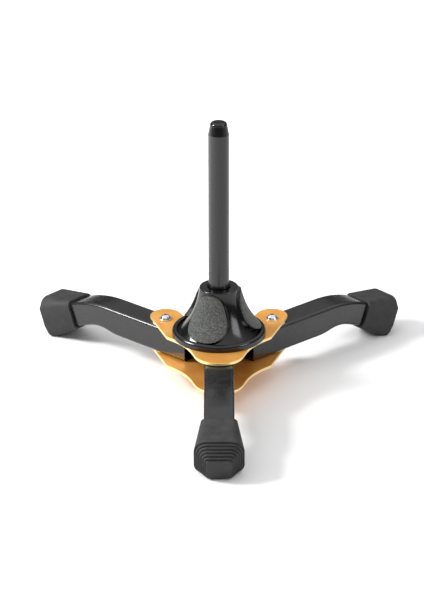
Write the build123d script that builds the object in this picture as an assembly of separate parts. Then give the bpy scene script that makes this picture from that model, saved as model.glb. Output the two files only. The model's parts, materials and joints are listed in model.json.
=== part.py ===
"""Folding trumpet stand: a padded bell cone and a post on a two-plate hub, with three booted tube legs.

The post axis is modelled at x = 0, y = 0 with the floor at z = 0, and the front leg points along -Y.
Before it is written out, the whole stand is moved along Y to put its footprint's middle at y = 0.
"""

from build123d import *
import math
import os

# Hub plates: two equal lobed plates with the legs between them.
plate_thickness = 2.0
plate_floor_height = 15.0  # underside of the lower plate above the floor
tongue_reach = 48.0  # post axis to the front edge of the tongue
tongue_radius = 17.0
flank_radius = 46.0  # hollow curve between the tongue and the side corner
side_corner_x = 33.0  # centre of the small round side corner
side_corner_y = -4.0
side_corner_radius = 3.0
lobe_radius = 10.8
lobe_overhang = 6.3  # how far the lobe's centre lies behind its pivot
back_edge_y = 26.0
back_corner_radius = 8.0
plate_edge_radius = 0.3

# Pivots of the two folding legs.
pivot_distance = 43.9  # post axis to each pivot
pivot_azimuth = 57.0  # each pivot's angle from straight back
spread_angle = 49.0  # each folding leg's angle from straight back, when open

# Legs: rectangular steel tube, straight in the hub, then dipping into a boot.
leg_width = 20.0
leg_height = 19.0
leg_wall = 1.5
leg_corner_radius = 2.0
leg_tail = 26.0  # pivot to the inner end of a folding leg
leg_dip = 21.5  # slope of the outer end below level
top_bend_start = 49.0  # pivot to the start of the bend, upper face
top_bend_radius = 85.0
under_bend_start = 36.0  # pivot to the start of the pressed-in arch, lower face
under_rise_radius = 44.0
under_fall_radius = 31.0
under_rise_angle = 14.0
boot_depth = 22.0  # length of tube inside the boot
front_leg_inset = 15.0  # the front boot sits this much nearer the post than the side boots
front_leg_tail = 8.0  # front tube's inner end, behind the post axis

# Boots: a flared rubber box with six steps down to a flat toe.
boot_wall_side = 1.9
boot_wall_top = 1.6
boot_corner_radius = 3.4
boot_flare_length = 25.0
boot_widest = 32.6
boot_widest_top = 16.3  # above the boot's axis
boot_widest_under = 15.1  # below the boot's axis
boot_widest_corner = 9.3
step_count = 6
step_length = 1.76
step_inset = 1.32  # each step is this much smaller on every side
step_edge_radius = 0.4
socket_clearance = 0.1
toe_corner_radius = 0.6

# Pivot hardware.
washer_thickness = 0.3
washer_play = 0.02
washer_radius = 9.0
sleeve_radius = 5.0
sleeve_running_clearance = 0.05
pivot_bolt_radius = 2.5
bolt_hole_clearance = 0.2
flange_radius = 4.4
flange_height = 0.8
dome_radius = 3.4
dome_height = 3.5  # above the plate
dome_edge_height = 1.4
socket_flats = 2.5
socket_depth = 1.6
nut_across_flats = 8.0
nut_height = 3.6
nut_collar_radius = 3.5
nut_collar_height = 1.3
thread_clearance = 0.03
bolt_end_extra = 1.0

# Centre bolt, from below, which pulls the post down on to the cone and the hub.
centre_bolt_radius = 3.0
centre_head_flats = 10.0
centre_head_height = 4.0
centre_washer_radius = 6.5
centre_washer_thickness = 1.2
centre_thread_length = 14.0

# Locating screw of the front leg, countersunk flush in the upper plate under the cone.
locating_screw_y = -22.0
locating_screw_radius = 2.0
locating_head_radius = 3.7

# Post.
post_radius = 7.0
post_wall = 1.2
post_foot_step = 0.3  # the turned foot is this much smaller in radius, a loose fit in the sleeve
post_foot_proud = 0.4  # how far the turned foot shows above the cone
post_top = 183.5  # top end of the tube above the floor
insert_length = 20.0
insert_clearance = 0.03
cap_height = 8.4
cap_seam_step = 0.1  # the cap's foot is this much smaller in radius than the tube
cap_taper = 1.15  # drop in radius from there to the cap's shoulder
cap_edge_radius = 2.2
cap_plug_length = 12.0
cap_plug_wall = 1.5
cap_plug_clearance = 0.05

# Bell cone, one plastic moulding.
rim_radius = 32.0
rim_height = 4.8
rim_width = 4.4
trough_depth = 1.7
cone_height = 35.25
cone_top_radius = 13.3
cone_arc_radius = 56.2
cone_shoulder = 0.9
cone_wall = 2.4
cone_floor = 3.0
cone_crown = 8.0  # solid depth at the cone's top
cone_sleeve_wall = 2.2
cone_rib_width = 2.0
cone_bore_clearance = 0.3
cone_bore_chamfer = 1.0

# Three felt pads on raised seats, an egg-shaped outline seen along the pad's own radius.
pad_azimuths = {"pad_front": -24.0, "pad_right": 96.0, "pad_left": -144.0}
pad_half_width = 13.8
pad_widest_height = 11.0  # above the cone's foot
pad_top_height = 33.4
pad_bottom_height = 5.2
pad_shoulder_half_width = 10.6  # where the egg narrows towards its top
pad_shoulder_height = 23.4
pad_arc_radius = 52.3
pad_arc_centre_radius = 67.1
pad_arc_centre_height = 41.6  # above the cone's foot
pad_thickness = 1.1
pad_seat_margin = 0.5

# Heights that follow from the sizes above.
lower_plate_top = plate_floor_height + plate_thickness
plate_gap = leg_height + 2 * (washer_thickness + washer_play)
upper_plate_bottom = lower_plate_top + plate_gap
hub_top = upper_plate_bottom + plate_thickness
leg_under = lower_plate_top + washer_thickness + washer_play
leg_top = leg_under + leg_height
post_foot = hub_top + cone_floor
post_foot_radius = post_radius - post_foot_step
cap_seam_radius = post_radius - cap_seam_step
cap_shoulder_radius = cap_seam_radius - cap_taper
bore_radius = post_radius + cone_bore_clearance
cone_top = hub_top + cone_height

DIP_OUT = math.cos(math.radians(leg_dip))
DIP_DOWN = math.sin(math.radians(leg_dip))


def at(x, y, z=0.0):
    """A plain shift."""
    return Location((x, y, z))


def disc(radius, low, high, x=0.0, y=0.0):
    """An upright cylinder between two heights."""
    return at(x, y, low) * Cylinder(radius, high - low, align=(Align.CENTER, Align.CENTER, Align.MIN))


def hexagon(across_flats, low, high, x=0.0, y=0.0):
    """An upright hexagonal prism between two heights."""
    outline = RegularPolygon(across_flats / 2, 6, major_radius=False)
    return at(x, y, low) * extrude(outline, high - low)


def pivot_point(side):
    """The pivot on one side: -1 is the left one, +1 the right one."""
    angle = math.radians(pivot_azimuth)
    return side * pivot_distance * math.sin(angle), pivot_distance * math.cos(angle)


# ---------------------------------------------------------------- hub plates


def tangent_points(first, second):
    """Where the straight edge between two rounded corners leaves one and meets the next.

    A corner is (x, y, radius). Going round anticlockwise, a positive radius bulges outwards and
    a negative one is a hollow.
    """
    x1, y1, r1 = first
    x2, y2, r2 = second
    run = math.hypot(x2 - x1, y2 - y1)
    along = math.atan2(y2 - y1, x2 - x1)
    normal = along - math.pi / 2 + math.asin((r2 - r1) / run) * -1
    start = (x1 + r1 * math.cos(normal), y1 + r1 * math.sin(normal))
    end = (x2 + r2 * math.cos(normal), y2 + r2 * math.sin(normal))
    return start, end


def rounded_outline(corners):
    """A closed face whose straight edges run tangent to each rounded corner in turn."""
    count = len(corners)
    edges = []
    for index in range(count):
        here = corners[index]
        before = corners[index - 1]
        after = corners[(index + 1) % count]
        arc_start = tangent_points(before, here)[1]
        arc_end, line_end = tangent_points(here, after)
        x, y, radius = here
        mid_x = (arc_start[0] + arc_end[0]) / 2 - x
        mid_y = (arc_start[1] + arc_end[1]) / 2 - y
        scale = abs(radius) / math.hypot(mid_x, mid_y)
        edges.append(ThreePointArc(arc_start, (x + mid_x * scale, y + mid_y * scale), arc_end))
        edges.append(Line(arc_end, line_end))
    return make_face(Wire(edges))


def flank_centre():
    """The centre of the hollow flank, tangent to the tongue's round end and the side corner's edge."""
    tongue_y = tongue_radius - tongue_reach
    reach_tongue = flank_radius + tongue_radius
    reach_corner = flank_radius + side_corner_radius
    dx = side_corner_x
    dy = side_corner_y - tongue_y
    span = math.hypot(dx, dy)
    along = (span**2 + reach_tongue**2 - reach_corner**2) / (2 * span)
    off = math.sqrt(reach_tongue**2 - along**2)
    x = along * dx / span + off * dy / span
    y = tongue_y + along * dy / span - off * dx / span
    return x, y


def plate_outline():
    """The lobed outline that both plates share."""
    pivot_x, pivot_y = pivot_point(1)
    flank_x, flank_y = flank_centre()
    gap = 0.35  # a short straight keeps the flank arc clear of its neighbours
    right = [
        (0.0, tongue_radius - tongue_reach, tongue_radius),
        (flank_x + gap, flank_y - gap, -flank_radius),
        (side_corner_x, side_corner_y, side_corner_radius),
        (pivot_x, pivot_y + lobe_overhang, lobe_radius),
        (pivot_x - lobe_radius - back_corner_radius, back_edge_y + back_corner_radius, -back_corner_radius),
    ]
    left = [(-x, y, radius) for x, y, radius in reversed(right[1:])]
    return rounded_outline(right + left)


def is_level(edge):
    """True for an edge that lies in one level plane."""
    return edge.bounding_box().size.Z < 0.001


def plate(low):
    """One plate with its pivot, centre and locating holes."""
    solid = at(0, 0, low) * extrude(plate_outline(), plate_thickness)
    flat_edges = solid.edges().filter_by(lambda edge: is_level(edge))
    solid = fillet(flat_edges, plate_edge_radius)
    high = low + plate_thickness
    for side in (-1, 1):
        x, y = pivot_point(side)
        solid -= disc(pivot_bolt_radius + bolt_hole_clearance, low - 1, high + 1, x, y)
    solid -= disc(centre_bolt_radius + bolt_hole_clearance, low - 1, high + 1)
    solid -= disc(locating_screw_radius + bolt_hole_clearance, low - 1, high + 1, 0, locating_screw_y)
    return solid


def top_plate():
    """The upper plate, countersunk for the locating screw."""
    sink = Cone(
        locating_screw_radius + bolt_hole_clearance,
        locating_head_radius + bolt_hole_clearance,
        plate_thickness,
        align=(Align.CENTER, Align.CENTER, Align.MIN),
    )
    return plate(upper_plate_bottom) - at(0, locating_screw_y, upper_plate_bottom) * sink


# ---------------------------------------------------------------------- legs


def leg_side_face(inner_end, inset, end_extra=0.0):
    """The leg seen from the side, in X (out from the pivot) and Y (up), shrunk by inset all along."""
    dip = math.radians(leg_dip)
    rise = math.radians(under_rise_angle)
    top = leg_top - inset
    under = leg_under + inset
    top_radius = top_bend_radius - inset
    rise_radius = under_rise_radius - inset
    fall_radius = under_fall_radius + inset

    top_start = (top_bend_start, top)
    top_mid = (
        top_bend_start + top_radius * math.sin(dip / 2),
        top - top_radius * (1 - math.cos(dip / 2)),
    )
    top_end = (
        top_bend_start + top_radius * math.sin(dip),
        top - top_radius * (1 - math.cos(dip)),
    )
    rise_end = (
        under_bend_start + rise_radius * math.sin(rise),
        under + rise_radius * (1 - math.cos(rise)),
    )
    rise_mid = (
        under_bend_start + rise_radius * math.sin(rise / 2),
        under + rise_radius * (1 - math.cos(rise / 2)),
    )
    centre = (
        rise_end[0] + fall_radius * math.sin(rise),
        rise_end[1] - fall_radius * math.cos(rise),
    )
    fall_mid = (centre[0], centre[1] + fall_radius)
    fall_end = (
        centre[0] + fall_radius * math.sin(dip),
        centre[1] + fall_radius * math.cos(dip),
    )
    collar_x, collar_z = collar_centre()
    reach = boot_depth + end_extra
    end_x = collar_x + reach * DIP_OUT
    end_z = collar_z - reach * DIP_DOWN
    half = leg_end_height() / 2 - inset
    tip_top = (end_x + half * DIP_DOWN, end_z + half * DIP_OUT)
    tip_under = (end_x - half * DIP_DOWN, end_z - half * DIP_OUT)
    edges = [
        Line((inner_end, top), top_start),
        ThreePointArc(top_start, top_mid, top_end),
        Line(top_end, tip_top),
        Line(tip_top, tip_under),
        Line(tip_under, fall_end),
        ThreePointArc(fall_end, fall_mid, rise_end),
        ThreePointArc(rise_end, rise_mid, (under_bend_start, under)),
        Line((under_bend_start, under), (inner_end, under)),
        Line((inner_end, under), (inner_end, top)),
    ]
    return make_face(Wire(edges))


def leg_ends():
    """Where the bends end on the upper and lower faces, as (out, up) points."""
    dip = math.radians(leg_dip)
    rise = math.radians(under_rise_angle)
    bend_sum = under_rise_radius + under_fall_radius
    upper = (
        top_bend_start + top_bend_radius * math.sin(dip),
        leg_top - top_bend_radius * (1 - math.cos(dip)),
    )
    crest_x = under_bend_start + bend_sum * math.sin(rise)
    crest_z = leg_under + bend_sum * (1 - math.cos(rise))
    lower = (
        crest_x + under_fall_radius * math.sin(dip),
        crest_z - under_fall_radius * (1 - math.cos(dip)),
    )
    return upper, lower


def leg_end_height():
    """Depth of the tube past the bend, where pressing the arch in has thinned it."""
    upper, lower = leg_ends()
    return (upper[0] - lower[0]) * DIP_DOWN + (upper[1] - lower[1]) * DIP_OUT


def collar_centre():
    """The middle of the boot's collar plane, as an (out, up) point from the pivot."""
    upper, lower = leg_ends()
    half = leg_end_height() / 2
    past_bend = 3.5
    x = upper[0] + past_bend * DIP_OUT - half * DIP_DOWN
    z = upper[1] - past_bend * DIP_DOWN - half * DIP_OUT
    return x, z


def leg_bar(inner_end, inset, end_extra=0.0):
    """A solid bar with the leg's side shape, lying along +X with the pivot at x = 0."""
    width = leg_width - 2 * inset
    face = Plane.XZ * leg_side_face(inner_end, inset, end_extra)
    bar = extrude(face, width / 2, both=True)
    corner = leg_corner_radius - inset
    if corner > 0:
        long_edges = bar.edges().filter_by(lambda edge: abs(abs(edge.center().Y) - width / 2) < 0.01)
        ends = long_edges.filter_by(lambda edge: is_end_edge(edge, inner_end, end_extra))
        bar = fillet(long_edges - ends, corner)
    return bar


def is_end_edge(edge, inner_end, end_extra):
    """True for an edge of the bar's two end faces."""
    collar_x, collar_z = collar_centre()
    centre = edge.center()
    past_collar = (centre.X - collar_x) * DIP_OUT - (centre.Z - collar_z) * DIP_DOWN
    at_tip = abs(past_collar - boot_depth - end_extra) < 0.01
    return at_tip or abs(centre.X - inner_end) < 0.01


def leg_tube(inner_end, holes):
    """A hollow leg lying along +X, open at both ends, with upright (place, radius) holes."""
    tube = leg_bar(inner_end, 0.0) - leg_bar(inner_end - 1, leg_wall, 1.0)
    for place, radius in holes:
        tube -= disc(radius, leg_under - 1, leg_top + 1, place, 0)
    return tube


def side_placement(side):
    """Puts a part made along +X from its pivot on to the left (-1) or right (+1) leg."""
    x, y = pivot_point(side)
    return Location((x, y, 0), (0, 0, 90 - side * spread_angle))


def front_pivot():
    """The point of the front leg that answers to a side leg's pivot."""
    return pivot_distance - front_leg_inset


def front_placement():
    """Puts a part made along +X from its pivot on to the front leg."""
    return Location((0, -front_pivot(), 0), (0, 0, -90))


def side_leg(side):
    """One folding leg, with a running hole for its pivot sleeve."""
    hole = sleeve_radius + sleeve_running_clearance
    return side_placement(side) * leg_tube(-leg_tail, [(0.0, hole)])


def leg_front():
    """The fixed leg, drilled for the centre sleeve and the locating screw."""
    inner_end = -front_pivot() - front_leg_tail
    centre_hole = (-front_pivot(), sleeve_radius + sleeve_running_clearance)
    screw_hole = (-locating_screw_y - front_pivot(), locating_screw_radius + bolt_hole_clearance)
    return front_placement() * leg_tube(inner_end, [centre_hole, screw_hole])


# --------------------------------------------------------------------- boots


def boot_section(width, above, below, corner):
    """One cross-section of the boot, square to its axis, with local X across and Y up."""
    height = above + below
    return at(0, (above - below) / 2) * RectangleRounded(width, height, corner)


def boot_plane(distance):
    """The plane square to the boot's axis at a distance past the collar."""
    x, z = collar_centre()
    origin = (x + distance * DIP_OUT, 0, z - distance * DIP_DOWN)
    return Plane(origin=origin, x_dir=(0, 1, 0), z_dir=(DIP_OUT, 0, -DIP_DOWN))


def boot_solid():
    """The rubber boot lying along +X: flare, steps, level sole and the socket for the tube."""
    collar_half = leg_end_height() / 2 + boot_wall_top
    collar_width = leg_width + 2 * boot_wall_side
    collar = boot_section(collar_width, collar_half, collar_half, boot_corner_radius)
    widest = boot_section(boot_widest, boot_widest_top, boot_widest_under, boot_widest_corner)
    body = loft([boot_plane(0) * collar, boot_plane(boot_flare_length) * widest])
    for step in range(1, step_count + 1):
        inset = step * step_inset
        section = boot_section(
            boot_widest - 2 * inset,
            boot_widest_top - inset,
            boot_widest_under - inset,
            max(boot_widest_corner - inset, toe_corner_radius),
        )
        slab = extrude(boot_plane(boot_flare_length) * section, step * step_length)
        slab = fillet(slab.faces().sort_by(Axis((0, 0, 0), (DIP_OUT, 0, -DIP_DOWN)))[-1].edges(), step_edge_radius)
        body += slab
    below_floor = at(0, 0, -50) * Box(400, 400, 50, align=(Align.CENTER, Align.CENTER, Align.MIN))
    socket = leg_bar(0, -socket_clearance)
    return body - below_floor - socket


# ------------------------------------------------------------ hub hardware


def pivot_bolts():
    """Two domed socket screws, heads on the upper plate."""
    bolts = []
    for side in (-1, 1):
        x, y = pivot_point(side)
        end = plate_floor_height - nut_height - nut_collar_height - bolt_end_extra
        bolts.append(disc(pivot_bolt_radius, end, hub_top, x, y) + domed_head(x, y))
    return Compound(bolts)


def domed_head(x, y):
    """A domed head on a thin round flange, with a hexagon socket."""
    rise = dome_height - dome_edge_height
    ball_radius = (dome_radius**2 + rise**2) / (2 * rise)
    barrel = disc(dome_radius, 0, dome_height)
    ball = at(0, 0, dome_height - ball_radius) * Sphere(ball_radius)
    flange = disc(flange_radius, 0, flange_height)
    flange = fillet(flange.edges().group_by(Axis.Z)[-1], flange_height / 2)
    socket = hexagon(socket_flats, dome_height - socket_depth, dome_height + 1)
    return at(x, y, hub_top) * (flange + (barrel & ball) - socket)


def lock_nut(x, y, radius):
    """A hexagon lock nut with its round insert collar downwards, tight under the lower plate."""
    seat = plate_floor_height
    body = hexagon(nut_across_flats, seat - nut_height, seat, x, y)
    corner = nut_across_flats / 2 * 1.08
    body &= disc(corner, seat - nut_height, seat, x, y)
    collar = disc(nut_collar_radius, seat - nut_height - nut_collar_height, seat - nut_height, x, y)
    return body + collar - disc(radius + thread_clearance, 0, seat + 1, x, y)


def pivot_nuts():
    """Two lock nuts under the lower plate."""
    return Compound([lock_nut(*pivot_point(side), pivot_bolt_radius) for side in (-1, 1)])


def sleeve(x, y, bolt_radius):
    """A steel spacer between the plates."""
    outside = disc(sleeve_radius, lower_plate_top, upper_plate_bottom, x, y)
    return outside - disc(bolt_radius + bolt_hole_clearance, 0, hub_top, x, y)


def pivot_sleeves():
    """The spacers that the folding legs turn on."""
    return Compound([sleeve(*pivot_point(side), pivot_bolt_radius) for side in (-1, 1)])


def friction_ring(x, y, low):
    """One thin nylon washer round a pivot sleeve."""
    ring = disc(washer_radius, low, low + washer_thickness, x, y)
    return ring - disc(sleeve_radius + bolt_hole_clearance, low - 1, low + 2, x, y)


def friction_washers(low):
    """The two nylon washers against one plate."""
    return Compound([friction_ring(*pivot_point(side), low) for side in (-1, 1)])


def centre_bolt():
    """The hexagon-head bolt that holds the post."""
    head_top = plate_floor_height - centre_washer_thickness
    head = hexagon(centre_head_flats, head_top - centre_head_height, head_top)
    return head + disc(centre_bolt_radius, head_top, post_foot + centre_thread_length)


def centre_washer():
    """The plain washer under the bolt's head."""
    low = plate_floor_height - centre_washer_thickness
    ring = disc(centre_washer_radius, low, plate_floor_height)
    return ring - disc(centre_bolt_radius + bolt_hole_clearance, low - 1, plate_floor_height + 1)


def locating_screw():
    """The countersunk screw that keeps the front leg from turning."""
    end = plate_floor_height - nut_height - nut_collar_height - bolt_end_extra
    shank = disc(locating_screw_radius, end, hub_top - plate_thickness, 0, locating_screw_y)
    head = Cone(
        locating_screw_radius,
        locating_head_radius,
        plate_thickness,
        align=(Align.CENTER, Align.CENTER, Align.MIN),
    )
    return shank + at(0, locating_screw_y, upper_plate_bottom) * head


# ---------------------------------------------------------------------- post


def post_tube():
    """The painted steel tube that stands inside the bell."""
    shoulder = cone_top + post_foot_proud
    outside = disc(post_foot_radius, post_foot, shoulder) + disc(post_radius, shoulder, post_top)
    return outside - disc(post_radius - post_wall, post_foot - 1, post_top + 1)


def post_insert():
    """The threaded plug pressed into the foot of the tube."""
    plug = disc(post_radius - post_wall - insert_clearance, post_foot, post_foot + insert_length)
    bore_top = post_foot + centre_thread_length + 1
    return plug - disc(centre_bolt_radius + thread_clearance, post_foot - 1, bore_top)


def post_cap():
    """The tapered plastic cap: a domed nose and a hollow plug down the tube."""
    plug_radius = post_radius - post_wall - cap_plug_clearance
    top = post_top + cap_height
    shoulder = top - cap_edge_radius
    nose = [
        Line((0, post_top), (cap_seam_radius, post_top)),
        Line((cap_seam_radius, post_top), (cap_shoulder_radius, shoulder)),
        RadiusArc((cap_shoulder_radius, shoulder), (cap_shoulder_radius - cap_edge_radius, top), -cap_edge_radius),
        Line((cap_shoulder_radius - cap_edge_radius, top), (0, top)),
        Line((0, top), (0, post_top)),
    ]
    cap = revolve(Plane.XZ * make_face(Wire(nose)), Axis.Z)
    plug = disc(plug_radius, post_top - cap_plug_length, post_top)
    hollow = disc(plug_radius - cap_plug_wall, post_top - cap_plug_length - 1, post_top - cap_plug_wall)
    return cap + (plug - hollow)


# ----------------------------------------------------------------- bell cone


def arc_x(centre_radius, centre_height, arc_radius, height):
    """Distance from the post axis to a hollow arc at a height."""
    return centre_radius - math.sqrt(arc_radius**2 - (centre_height - height) ** 2)


def cone_arc_centre():
    """The centre of the cone's hollow flare, from its upper edge and its foot in the trough."""
    top = (cone_top_radius, cone_top - cone_shoulder)
    foot = (rim_radius - rim_width - 0.3, hub_top + rim_height - trough_depth)
    mid = ((top[0] + foot[0]) / 2, (top[1] + foot[1]) / 2)
    run = (foot[0] - top[0], foot[1] - top[1])
    length = math.hypot(*run)
    off = math.sqrt(cone_arc_radius**2 - (length / 2) ** 2)
    return mid[0] - run[1] / length * off, mid[1] + run[0] / length * off


def cone_outer_face():
    """Half section of the cone's outside, filled in to the post axis."""
    centre_x, centre_z = cone_arc_centre()
    foot_x = rim_radius - rim_width - 0.3
    foot_z = hub_top + rim_height - trough_depth
    shoulder_z = cone_top - cone_shoulder
    middle_z = (foot_z + shoulder_z) / 2
    middle = (arc_x(centre_x, centre_z, cone_arc_radius, middle_z), middle_z)
    bead = rim_width / 2
    bead_x = rim_radius - bead
    bead_z = hub_top + rim_height
    edges = [
        Line((0, hub_top), (rim_radius, hub_top)),
        Line((rim_radius, hub_top), (rim_radius, bead_z - bead)),
        ThreePointArc(
            (rim_radius, bead_z - bead),
            (bead_x, bead_z),
            (rim_radius - rim_width, bead_z - bead),
        ),
        Line((rim_radius - rim_width, bead_z - bead), (rim_radius - rim_width, foot_z)),
        Line((rim_radius - rim_width, foot_z), (foot_x, foot_z)),
        ThreePointArc((foot_x, foot_z), middle, (cone_top_radius, shoulder_z)),
        ThreePointArc(
            (cone_top_radius, shoulder_z),
            (cone_top_radius - cone_shoulder * 0.293, cone_top - cone_shoulder * 0.293),
            (cone_top_radius - cone_shoulder, cone_top),
        ),
        Line((cone_top_radius - cone_shoulder, cone_top), (0, cone_top)),
        Line((0, cone_top), (0, hub_top)),
    ]
    return make_face(Wire(edges))


def pad_shell(outer_offset, inner_offset):
    """A ring whose outer and inner sides follow the pad's hollow arc, spun round the post axis."""
    centre_x = pad_arc_centre_radius
    centre_z = hub_top + pad_arc_centre_height
    outer_radius = pad_arc_radius + outer_offset
    inner_radius = pad_arc_radius + inner_offset
    low = hub_top + rim_height - trough_depth + 0.2
    high = cone_top - 0.2
    middle = (low + high) / 2
    outer_low = arc_x(centre_x, centre_z, outer_radius, low)
    outer_middle = arc_x(centre_x, centre_z, outer_radius, middle)
    outer_high = arc_x(centre_x, centre_z, outer_radius, high)
    inner_low = arc_x(centre_x, centre_z, inner_radius, low)
    inner_middle = arc_x(centre_x, centre_z, inner_radius, middle)
    inner_high = arc_x(centre_x, centre_z, inner_radius, high)
    edges = [
        ThreePointArc((outer_low, low), (outer_middle, middle), (outer_high, high)),
        Line((outer_high, high), (inner_high, high)),
        ThreePointArc((inner_high, high), (inner_middle, middle), (inner_low, low)),
        Line((inner_low, low), (outer_low, low)),
    ]
    return revolve(Plane.XZ * make_face(Wire(edges)), Axis.Z)


def egg_side(direction, margin):
    """Half of the egg outline, from its top to its bottom, on the side that direction (-1 or 1) gives."""
    top = (0, hub_top + pad_top_height + margin)
    shoulder = (direction * (pad_shoulder_half_width + margin), hub_top + pad_shoulder_height)
    widest = (direction * (pad_half_width + margin), hub_top + pad_widest_height)
    bottom = (0, hub_top + pad_bottom_height - margin)
    return Spline(top, shoulder, widest, bottom, tangents=((direction, 0), (-direction, 0)))


def egg_prism(azimuth, margin):
    """The pad's egg outline pushed out along its radius, at an angle from the front."""
    face = make_face(Wire([egg_side(1, margin), egg_side(-1, margin)]))
    facing = Plane(origin=(0, 0, 0), x_dir=(1, 0, 0), z_dir=(0, -1, 0))
    return Rot(0, 0, azimuth) * extrude(facing * face, rim_radius + 10)


def pad(azimuth):
    """One felt pad on its seat."""
    return pad_shell(0.0, pad_thickness) & egg_prism(azimuth, 0.0)


def bell_cone():
    """The hollow moulding: flare, rim, three pad seats, inner sleeve, floor and ribs."""
    solid = revolve(Plane.XZ * cone_outer_face(), Axis.Z)
    seat_ring = pad_shell(pad_thickness, pad_thickness + cone_wall * 2)
    for azimuth in pad_azimuths.values():
        solid += seat_ring & egg_prism(azimuth, pad_seat_margin)
    solid -= cone_hollow()
    solid -= disc(bore_radius, post_foot, cone_top + 1)
    solid -= disc(centre_bolt_radius + bolt_hole_clearance, hub_top - 1, post_foot + 1)
    lip = Cone(
        bore_radius,
        bore_radius + cone_bore_chamfer,
        cone_bore_chamfer,
        align=(Align.CENTER, Align.CENTER, Align.MIN),
    )
    return solid - at(0, 0, cone_top - cone_bore_chamfer) * lip


def cone_hollow():
    """The space inside the moulding, between the outer wall and the post's sleeve, crossed by ribs."""
    centre_x, centre_z = cone_arc_centre()
    radius = cone_arc_radius + cone_wall
    sleeve_outer = bore_radius + cone_sleeve_wall
    low = hub_top
    rim_roof = hub_top + rim_height - trough_depth - cone_wall * 0.5
    roof_x = arc_x(centre_x, centre_z, radius, rim_roof)
    top = cone_top - cone_crown
    middle = (rim_roof + top) / 2
    middle_x = arc_x(centre_x, centre_z, radius, middle)
    top_x = arc_x(centre_x, centre_z, radius, top)
    edges = [
        Line((sleeve_outer, low - 1), (roof_x, low - 1)),
        Line((roof_x, low - 1), (roof_x, rim_roof)),
        ThreePointArc((roof_x, rim_roof), (middle_x, middle), (top_x, top)),
        Line((top_x, top), (sleeve_outer, top)),
        Line((sleeve_outer, top), (sleeve_outer, low - 1)),
    ]
    hollow = revolve(Plane.XZ * make_face(Wire(edges)), Axis.Z)
    for azimuth in pad_azimuths.values():
        rib = Box(cone_rib_width, rim_radius, cone_height * 3, align=(Align.CENTER, Align.MAX, Align.CENTER))
        hollow -= at(0, 0, hub_top) * Rot(0, 0, azimuth) * rib
    return hollow


# --------------------------------------------------------------- the assembly


def build_nodes():
    """Every piece of the stand, by name, with the post axis at the origin."""
    nodes = {
        "bottom_plate": plate(plate_floor_height),
        "top_plate": top_plate(),
        "leg_front": leg_front(),
        "leg_left": side_leg(-1),
        "leg_right": side_leg(1),
        "boot_front": front_placement() * boot_solid(),
        "boot_left": side_placement(-1) * boot_solid(),
        "boot_right": side_placement(1) * boot_solid(),
        "pivot_bolts": pivot_bolts(),
        "pivot_nuts": pivot_nuts(),
        "pivot_sleeves": pivot_sleeves(),
        "upper_friction_washers": friction_washers(upper_plate_bottom - washer_thickness),
        "lower_friction_washers": friction_washers(lower_plate_top),
        "centre_bolt": centre_bolt(),
        "centre_washer": centre_washer(),
        "centre_sleeve": sleeve(0, 0, centre_bolt_radius),
        "locating_screw": locating_screw(),
        "locating_nut": lock_nut(0, locating_screw_y, locating_screw_radius),
        "post_tube": post_tube(),
        "post_insert": post_insert(),
        "post_cap": post_cap(),
        "bell_cone": bell_cone(),
    }
    for name, azimuth in pad_azimuths.items():
        nodes[name] = pad(azimuth)
    return nodes


def main():
    """Builds every piece, centres the footprint and writes one STEP file per piece."""
    os.makedirs("parts", exist_ok=True)
    nodes = build_nodes()
    boots = [nodes[name].bounding_box() for name in ("boot_front", "boot_left", "boot_right")]
    back = max(box.max.Y for box in boots)
    front = min(box.min.Y for box in boots)
    shift = -(back + front) / 2
    for name, shape in nodes.items():
        export_step(at(0, shift) * shape, f"parts/{name}.step")
    pivot_x, pivot_y = pivot_point(1)
    print("post axis y", round(shift, 4), "pivots x +-", round(pivot_x, 4), "y", round(pivot_y + shift, 4))
    print("cone top z", round(cone_top, 4), "hub top z", round(hub_top, 4))
    print("overall y", round(front + shift, 3), round(back + shift, 3))


main()
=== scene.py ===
# %% [markdown]
# A folding trumpet stand. The stand's frame comes ready made: every tube, plate and screw is a finished
# mesh at its full size, in metres, and this script never moves or reshapes one. What is left is what a
# modeller does last: soft parts, small detail, finishes, light and a camera. The frame is loaded first.
# Nothing added here may make the stand bigger.
# %% Load the frame
import json
import math

import bpy
from mathutils import Matrix, Vector


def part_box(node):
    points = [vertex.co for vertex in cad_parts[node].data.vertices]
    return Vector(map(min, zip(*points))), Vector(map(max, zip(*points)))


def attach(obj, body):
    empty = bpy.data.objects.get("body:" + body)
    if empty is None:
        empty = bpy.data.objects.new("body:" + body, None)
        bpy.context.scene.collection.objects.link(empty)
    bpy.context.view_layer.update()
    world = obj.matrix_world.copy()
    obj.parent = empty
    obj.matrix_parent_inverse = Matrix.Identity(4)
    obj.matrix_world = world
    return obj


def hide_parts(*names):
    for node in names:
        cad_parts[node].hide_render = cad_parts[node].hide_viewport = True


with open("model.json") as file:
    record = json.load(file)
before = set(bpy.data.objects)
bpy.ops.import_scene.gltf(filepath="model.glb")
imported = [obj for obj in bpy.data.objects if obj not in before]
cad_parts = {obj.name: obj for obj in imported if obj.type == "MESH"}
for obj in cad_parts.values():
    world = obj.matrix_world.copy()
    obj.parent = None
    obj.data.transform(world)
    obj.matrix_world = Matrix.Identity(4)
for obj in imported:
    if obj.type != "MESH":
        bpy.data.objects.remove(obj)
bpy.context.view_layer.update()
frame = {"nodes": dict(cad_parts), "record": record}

MM = 0.001
nodes = frame["nodes"]

# %% [markdown]
# Places are read from the frame, so they follow it if it changes. The post's axis is the middle of the
# bell cone's box.
# %% Places read from the frame
cone_low, cone_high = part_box("bell_cone")
post_y = (cone_low.y + cone_high.y) / 2
print("post axis at y", round(post_y / MM, 2), "mm")

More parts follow.
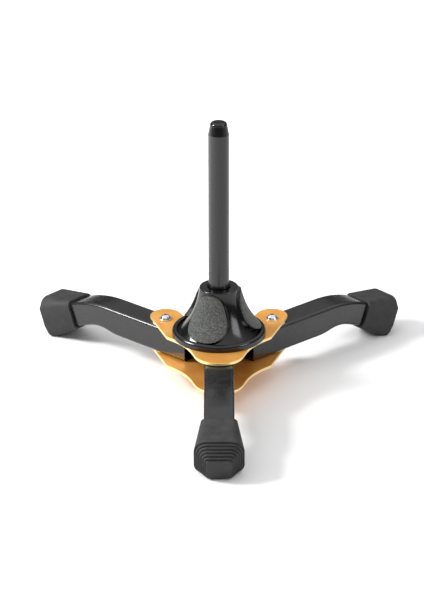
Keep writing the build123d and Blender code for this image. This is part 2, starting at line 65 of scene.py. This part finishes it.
# %% [markdown]
# A long lens from far back keeps the legs from splaying. It looks down by about a quarter of a right
# angle, straight along the front leg, at a point low on the post. The tiny roll is how a hand-levelled
# camera usually stands.
# %% Camera
CAMERA_DISTANCE = 1.651
CAMERA_ELEVATION = math.radians(24.08)
CAMERA_ROLL = math.radians(-0.1)
CAMERA_LENS = 145.84
LOOK_HEIGHT = 0.06355

bpy.ops.object.camera_add()
camera = bpy.context.object
camera.name = "camera"
back = Vector((0, -math.cos(CAMERA_ELEVATION), math.sin(CAMERA_ELEVATION)))
look_at = Vector((0, post_y, LOOK_HEIGHT))
camera.location = look_at + back * CAMERA_DISTANCE
turn = (-back).to_track_quat("-Z", "Y").to_matrix() @ Matrix.Rotation(CAMERA_ROLL, 3, "Z")
camera.rotation_euler = turn.to_euler()
camera.data.sensor_width = 36
camera.data.lens = CAMERA_LENS
camera.data.shift_x = -0.0115
bpy.context.scene.camera = camera
print("camera at", [round(v, 3) for v in camera.location])

# %% [markdown]
# Colours are picked as sRGB hex values, the way a colour picker shows them. Shaders work in linear light,
# so one function turns a hex value into the linear colour that a socket wants.
# %% Colour helper
def linear(hex_value):
    """An sRGB hex colour such as "#808080" as linear RGBA."""
    channels = [int(hex_value[i : i + 2], 16) / 255 for i in (1, 3, 5)]
    return [c / 12.92 if c <= 0.04045 else ((c + 0.055) / 1.055) ** 2.4 for c in channels] + [1.0]


print("mid grey is", [round(v, 3) for v in linear("#808080")])

# %% [markdown]
# Every finish below is a small node tree. One helper starts a material with its main shader, and another
# adds a node, sets its values and links its inputs, so each material reads as a short recipe.
# %% Node helpers
def new_material(name, colour, roughness, metallic=0.0, **sockets):
    """A material with one Principled shader, its constant values set on the shader itself."""
    material = bpy.data.materials.new(name)
    material.use_nodes = True
    shader = material.node_tree.nodes["Principled BSDF"]
    shader.inputs["Base Color"].default_value = linear(colour)
    shader.inputs["Roughness"].default_value = roughness
    shader.inputs["Metallic"].default_value = metallic
    for socket, value in sockets.items():
        shader.inputs[socket.replace("_", " ")].default_value = value
    return material, shader


def add(material, kind, links=(), **settings):
    """Adds a node. A setting names a property or an input, and links are (input, output socket) pairs."""
    node = material.node_tree.nodes.new(kind)
    for key, value in settings.items():
        if hasattr(node, key):
            setattr(node, key, value)
        else:
            node.inputs[key.replace("_", " ")].default_value = value
    for socket, source in links:
        material.node_tree.links.new(source, node.inputs[socket])
    return node


def feed(material, shader, socket, source):
    """Lets a pattern drive one of the shader's sockets."""
    material.node_tree.links.new(source, shader.inputs[socket])


print("node helpers ready")

# %% [markdown]
# Most patterns are noise at a real size. Scale counts cells in a metre, so a grain of so many millimetres
# is its inverse. Object coordinates keep each pattern fixed to its piece, and a stretch along one axis
# turns grains into brush lines. A second helper reads a noise through a ramp between two values, which is
# how a roughness or a shade varies a little without ever leaving its range.
# %% Pattern helpers
def grain(material, size_mm, detail=3.0, stretch=(1, 1, 1)):
    """Noise whose grains are size_mm across, stretched by the given factors."""
    place = add(material, "ShaderNodeTexCoord")
    mapping = add(material, "ShaderNodeMapping", [("Vector", place.outputs["Object"])])
    mapping.inputs["Scale"].default_value = [1 / s for s in stretch]
    noise = add(material, "ShaderNodeTexNoise", [("Vector", mapping.outputs["Vector"])], Detail=detail)
    noise.inputs["Scale"].default_value = 1 / (size_mm * MM)
    return noise


NOISE_LOW, NOISE_HIGH = 0.3, 0.7  # nearly all of a noise's values lie between these


def between(material, source, low, high):
    """A number that follows the source from low to high."""
    links = [("Value", source)]
    node = add(material, "ShaderNodeMapRange", links, To_Min=low, To_Max=high)
    node.inputs["From Min"].default_value = NOISE_LOW
    node.inputs["From Max"].default_value = NOISE_HIGH
    return node.outputs["Result"]


def shades(material, source, dark, light):
    """A colour that follows the source from dark to light, both hex."""
    ramp = add(material, "ShaderNodeValToRGB", [("Fac", source)])
    ramp.color_ramp.elements[0].position = 0.35
    ramp.color_ramp.elements[0].color = linear(dark)
    ramp.color_ramp.elements[1].position = 0.65
    ramp.color_ramp.elements[1].color = linear(light)
    return ramp.outputs["Color"]


def relief(material, shader, height, depth_mm, before=None):
    """Bumps the surface by a height source, over an earlier bump if one is given."""
    links = [("Height", height)] + ([("Normal", before)] if before else [])
    bump = add(material, "ShaderNodeBump", links, Distance=depth_mm * MM)
    feed(material, shader, "Normal", bump.outputs["Normal"])
    return bump.outputs["Normal"]


print("pattern helpers ready")

# %% [markdown]
# The hub plates are laser-cut steel with a satin gold plating. Plating over a cut blank keeps the sheet's
# rolling grain, so the shine breaks into soft lines one way, with a slow drift in hue over the face. That
# drift is what tells the eye plated metal from yellow paint. Wherever the surface turns upright, on the cut
# edges, it is mixed towards a paler gold: a painted highlight for the light that those edges catch.
# %% Satin gold plate
COLOUR_A, COLOUR_B, COLOUR_OUT = 6, 7, 2  # a Mix node's sockets when it mixes colours

gold, shader = new_material("satin_gold_plated_steel", "#F0BC68", 0.42, 0.6)
drift = grain(gold, 14, 4)
rolled = grain(gold, 0.6, 3, (14, 1, 1))
face = shades(gold, drift.outputs["Fac"], "#EFA548", "#F6BA64")
surface = add(gold, "ShaderNodeNewGeometry")
facing = add(gold, "ShaderNodeSeparateXYZ", [("Vector", surface.outputs["Normal"])])
upright = add(gold, "ShaderNodeMath", [(0, facing.outputs["Z"])], operation="ABSOLUTE").outputs[0]
# Painted highlight: upright faces, the cut edges, are mixed towards a pale gold that stands in for the light
# they catch.
painted_edge_highlight_mask = add(gold, "ShaderNodeMapRange", [("Value", upright)], From_Min=0.9, From_Max=0.4, To_Min=0, To_Max=1)
painted_edge_highlight_mix = add(gold, "ShaderNodeMix", [("Factor", painted_edge_highlight_mask.outputs["Result"])], data_type="RGBA")
gold.node_tree.links.new(face, painted_edge_highlight_mix.inputs[COLOUR_A])
painted_edge_highlight_mix.inputs[COLOUR_B].default_value = linear("#FFE6A6")
feed(gold, shader, "Base Color", painted_edge_highlight_mix.outputs[COLOUR_OUT])
feed(gold, shader, "Roughness", between(gold, rolled.outputs["Fac"], 0.36, 0.5))
relief(gold, shader, rolled.outputs["Fac"], 0.02)
print("made", gold.name)

# %% [markdown]
# The legs and post are steel tube in a semi-gloss black powder coat. Powder melts into a skin with a faint
# orange peel, two or three millimetres across and about a hundredth deep. It bends a reflection's edge
# without blurring it, which is the giveaway of powder coat against a flat black.
# %% Black powder coat
paint, shader = new_material("semi_gloss_black_powder_coat", "#121213", 0.26, 0.0, Coat_Weight=0.25)
shader.inputs["Coat Roughness"].default_value = 0.12
peel = grain(paint, 2.4, 1)
dust = grain(paint, 9, 5)
feed(paint, shader, "Roughness", between(paint, dust.outputs["Fac"], 0.2, 0.32))
feed(paint, shader, "Base Color", shades(paint, dust.outputs["Fac"], "#101011", "#161617"))
relief(paint, shader, peel.outputs["Fac"], 0.012)
print("made", paint.name)

# %% [markdown]
# The boots are moulded rubber, dull and a little dusty. A spark-eroded mould leaves a fine grain all over,
# and the mould's two halves leave a thin wandering line across the toe. The line is a narrow ridge at one
# height, pushed up and down by slow noise, and it is relief only: the mesh isn't changed.
# %% Moulded rubber
PARTING_HEIGHT = 9.2 * MM
PARTING_WANDER = 1.6 * MM
PARTING_HALF_WIDTH = 0.35 * MM

rubber, shader = new_material("moulded_black_rubber", "#2A2A2B", 0.66, 0.0, Specular_IOR_Level=0.4)
spark = grain(rubber, 0.5, 2)
bloom = grain(rubber, 7, 5)
feed(rubber, shader, "Base Color", shades(rubber, bloom.outputs["Fac"], "#252526", "#343435"))
feed(rubber, shader, "Roughness", between(rubber, bloom.outputs["Fac"], 0.58, 0.76))
skin = relief(rubber, shader, spark.outputs["Fac"], 0.05)
place = add(rubber, "ShaderNodeTexCoord")
height = add(rubber, "ShaderNodeSeparateXYZ", [("Vector", place.outputs["Object"])]).outputs["Z"]
wander = between(rubber, grain(rubber, 12, 1).outputs["Fac"], -PARTING_WANDER, PARTING_WANDER)
level = add(rubber, "ShaderNodeMath", [(0, height), (1, wander)], operation="SUBTRACT").outputs[0]
away = add(rubber, "ShaderNodeMath", [(0, level)], operation="SUBTRACT")
away.inputs[1].default_value = PARTING_HEIGHT
near = add(rubber, "ShaderNodeMath", [(0, away.outputs[0])], operation="ABSOLUTE").outputs[0]
ridge = add(rubber, "ShaderNodeMapRange", [("Value", near)], From_Min=0, To_Min=1, To_Max=0)
ridge.inputs["From Max"].default_value = PARTING_HALF_WIDTH
relief(rubber, shader, ridge.outputs["Result"], 0.12, skin)
print("made", rubber.name)

# %% [markdown]
# The bell cone and the post cap are injection moulded plastic, polished in the mould. Its gloss is
# sharper than the paint's, with slight sink ripples a centimetre long and hairline rub marks from bells.
# %% Polished plastic
plastic, shader = new_material("polished_black_abs", "#0C0C0D", 0.16, 0.0)
sink = grain(plastic, 11, 1)
rub = grain(plastic, 0.5, 3, (1, 1, 22))
feed(plastic, shader, "Roughness", between(plastic, rub.outputs["Fac"], 0.11, 0.2))
feed(plastic, shader, "Base Color", shades(plastic, sink.outputs["Fac"], "#0A0A0B", "#0F0F10"))
relief(plastic, shader, sink.outputs["Fac"], 0.03)
print("made", plastic.name)

# %% [markdown]
# Screws: chromed heads, plain turned steel on the hidden hardware. Chrome is nearly a mirror, so only
# smears in its roughness show. Turned steel keeps fine level rings from the lathe, and noise stretched
# sideways gives lines that run round each upright piece at one height.
# %% Chromed and turned steel
chrome, shader = new_material("chromed_steel", "#DADADD", 0.12, 1.0)
smear = grain(chrome, 2.2, 4)
feed(chrome, shader, "Roughness", between(chrome, smear.outputs["Fac"], 0.07, 0.22))
relief(chrome, shader, smear.outputs["Fac"], 0.01)

steel, shader = new_material("turned_steel", "#B4B4B2", 0.34, 1.0)
lathe = grain(steel, 0.35, 2, (20, 20, 1))
stain = grain(steel, 3, 4)
feed(steel, shader, "Base Color", shades(steel, stain.outputs["Fac"], "#A2A29F", "#C0C0BE"))
feed(steel, shader, "Roughness", between(steel, lathe.outputs["Fac"], 0.26, 0.44))
relief(steel, shader, lathe.outputs["Fac"], 0.02)
print("made", chrome.name, "and", steel.name)

# %% [markdown]
# The thin washers are natural nylon, milky and slightly waxy. A little light under the skin softens them.
# %% Natural nylon
nylon, shader = new_material("natural_nylon_sheet", "#DDDACF", 0.48, 0.0, Subsurface_Weight=0.15)
shader.inputs["Subsurface Scale"].default_value = 0.4 * MM
milk = grain(nylon, 1.6, 4)
feed(nylon, shader, "Base Color", shades(nylon, milk.outputs["Fac"], "#D2CEC1", "#E6E3DA"))
feed(nylon, shader, "Roughness", between(nylon, milk.outputs["Fac"], 0.4, 0.56))
relief(nylon, shader, milk.outputs["Fac"], 0.01)
print("made", nylon.name)

# %% [markdown]
# The pads are pressed wool felt. Felt is light and dark hairs matted together, so it reads as speckle
# from far off and as crossed hairs close up. Two stretched noises give the hairs, a plain one the
# speckle, and sheen lifts the edges where hairs stand against the light.
# %% Pressed felt
felt, shader = new_material("pressed_grey_wool_felt", "#4C4E4A", 0.95, 0.0, Sheen_Weight=0.15)
shader.inputs["Sheen Roughness"].default_value = 0.6
speckle = grain(felt, 0.8, 6)
across = grain(felt, 0.3, 2, (9, 9, 1))
along = grain(felt, 0.3, 2, (1, 1, 9))
crossed = [(0, across.outputs["Fac"]), (1, along.outputs["Fac"])]
hairs = add(felt, "ShaderNodeMath", crossed, operation="MAXIMUM")
mat = add(felt, "ShaderNodeMath", [(0, hairs.outputs[0]), (1, speckle.outputs["Fac"])], operation="MULTIPLY")
tone = add(felt, "ShaderNodeMapRange", [("Value", mat.outputs[0])], From_Min=0.18, From_Max=0.42)
feed(felt, shader, "Base Color", shades(felt, tone.outputs["Result"], "#373936", "#60625D"))
relief(felt, shader, mat.outputs[0], 0.5)
print("made", felt.name)

# %% [markdown]
# Each finish goes on the nodes whose slot in the record names it.
# %% Give the finishes out
by_slot = {
    "gold_plate": gold,
    "black_paint": paint,
    "boot_rubber": rubber,
    "black_plastic": plastic,
    "chrome_steel": chrome,
    "plain_steel": steel,
    "nylon": nylon,
    "felt": felt,
}
for entry in frame["record"]["subparts"]:
    target = nodes[entry["node"]]
    target.data.materials.clear()
    target.data.materials.append(by_slot[entry["material_slot"]])

# %% [markdown]
# A pad is an egg-shaped piece of felt, bent over its seat on the cone, and cut felt is never sharp: its
# rim rounds over and its face crowns a little. The pad starts as a copy of the frame's plain blank,
# remeshed into even little squares and shrunk a little. It is a very thin piece for a cloth solver, so it
# is worked at twenty times its size, blown up softly by pressure, and brought back. No point may move by
# more than a cap, which is smaller than the shrink. That keeps nearly all of the pad in its blank's room,
# but not all: along the sharp rim a few points stand out, the farthest by about two tenths of a millimetre.
# %% Felt pads
PAD_MESH = 0.42 * MM  # size of the even squares
WORK_SCALE = 20.0
PAD_SHRINK = 0.16 * MM  # taken off before the swelling
PAD_CAP = 0.15 * MM  # the farthest that the swelling may move a point
PAD_FRAMES = 12


def pick_only(obj):
    """Selects one object and makes it the active one."""
    bpy.ops.object.select_all(action="DESELECT")
    obj.select_set(True)
    bpy.context.view_layer.objects.active = obj


def felt_blank(node_name):
    """A copy of a pad's plain blank, remeshed evenly and smoothed so that its cut edge is rounded."""
    blank = nodes[node_name].copy()
    blank.data = nodes[node_name].data.copy()
    blank.name = node_name + "_felt"
    for key in [k for k in blank.keys() if k.startswith("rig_")]:
        del blank[key]
    bpy.context.collection.objects.link(blank)
    pick_only(blank)
    blank.data.remesh_voxel_size = PAD_MESH
    bpy.ops.object.voxel_remesh()
    rounding = blank.modifiers.new("rounding", "SMOOTH")
    rounding.factor = 0.5
    rounding.iterations = 2
    bpy.ops.object.modifier_apply(modifier=rounding.name)
    normals = [v.normal.copy() for v in blank.data.vertices]
    for vertex, normal in zip(blank.data.vertices, normals):
        vertex.co -= normal * PAD_SHRINK
    return blank


def swell(pad):
    """Blows the blank up by cloth pressure at work scale, capped, then brings it back to size."""
    centre = sum((v.co for v in pad.data.vertices), Vector()) / len(pad.data.vertices)
    rest = [v.co.copy() for v in pad.data.vertices]
    for vertex in pad.data.vertices:
        vertex.co = (vertex.co - centre) * WORK_SCALE
    cloth = pad.modifiers.new("cloth", "CLOTH")
    cloth.settings.quality = 4
    cloth.settings.mass = 0.3
    cloth.settings.tension_stiffness = 30
    cloth.settings.compression_stiffness = 30
    cloth.settings.bending_stiffness = 4
    cloth.settings.use_pressure = True
    cloth.settings.uniform_pressure_force = 4
    cloth.settings.effector_weights.gravity = 0
    cloth.point_cache.frame_start = 1
    cloth.point_cache.frame_end = PAD_FRAMES
    for step in range(1, PAD_FRAMES + 1):
        bpy.context.scene.frame_set(step)
    pick_only(pad)
    bpy.ops.object.modifier_apply(modifier=cloth.name)
    bpy.context.scene.frame_set(1)
    for vertex, start in zip(pad.data.vertices, rest):
        moved = vertex.co / WORK_SCALE + centre - start
        vertex.co = start + moved * min(1.0, PAD_CAP / max(moved.length, 1e-9))


for node_name in ("pad_front", "pad_right", "pad_left"):
    pad = felt_blank(node_name)
    swell(pad)
    pick_only(pad)
    bpy.ops.object.shade_smooth()
    pad.data.materials.clear()
    pad.data.materials.append(felt)
    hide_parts(node_name)
    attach(pad, "hub")
    print(pad.name, "points", len(pad.data.vertices))

# %% [markdown]
# The studio is a wide pale floor. The sky is bright overhead and dim near the horizon, as under a big
# overhead scrim in a darker room: the floor goes white, while glossy black pieces reflect the dim part
# and stay black. A softbox low on the left draws the long soft shadows, and a weak one on the right puts
# an upright highlight on the cone.
# %% Studio
bpy.ops.object.select_all(action="DESELECT")
bpy.ops.mesh.primitive_plane_add(size=12, location=(0, 2, 0))
floor = bpy.context.object
floor.name = "studio_floor"
floor_material, shader = new_material("matte_white_sweep", "#F4F4F4", 0.9)
floor.data.materials.append(floor_material)

world = bpy.data.worlds.new("overhead_scrim")
bpy.context.scene.world = world
world.use_nodes = True
direction = add(world, "ShaderNodeTexCoord")
upward = add(world, "ShaderNodeSeparateXYZ", [("Vector", direction.outputs["Generated"])])
sky = add(world, "ShaderNodeValToRGB", [("Fac", upward.outputs["Z"])])
sky.color_ramp.elements[0].color = linear("#4C4C4E")
sky.color_ramp.elements[0].position = 0.3
sky.color_ramp.elements[1].color = linear("#FFFFFF")
sky.color_ramp.elements[1].position = 0.8
background = world.node_tree.nodes["Background"]
world.node_tree.links.new(sky.outputs["Color"], background.inputs["Color"])
background.inputs["Strength"].default_value = 1.15


def softbox(name, place, size, power):
    """A square area light that faces the point that the camera looks at."""
    bpy.ops.object.light_add(type="AREA", location=place)
    light = bpy.context.object
    light.name = name
    light.data.size = size
    light.data.energy = power
    light.rotation_euler = (look_at - Vector(place)).to_track_quat("-Z", "Y").to_euler()


softbox("key_light", (-1.25, -0.02, 1.0), 0.45, 30)
softbox("cone_light", (1.3, -0.55, 0.75), 0.6, 5)
bpy.context.scene.view_settings.view_transform = "Standard"
print("studio ready")
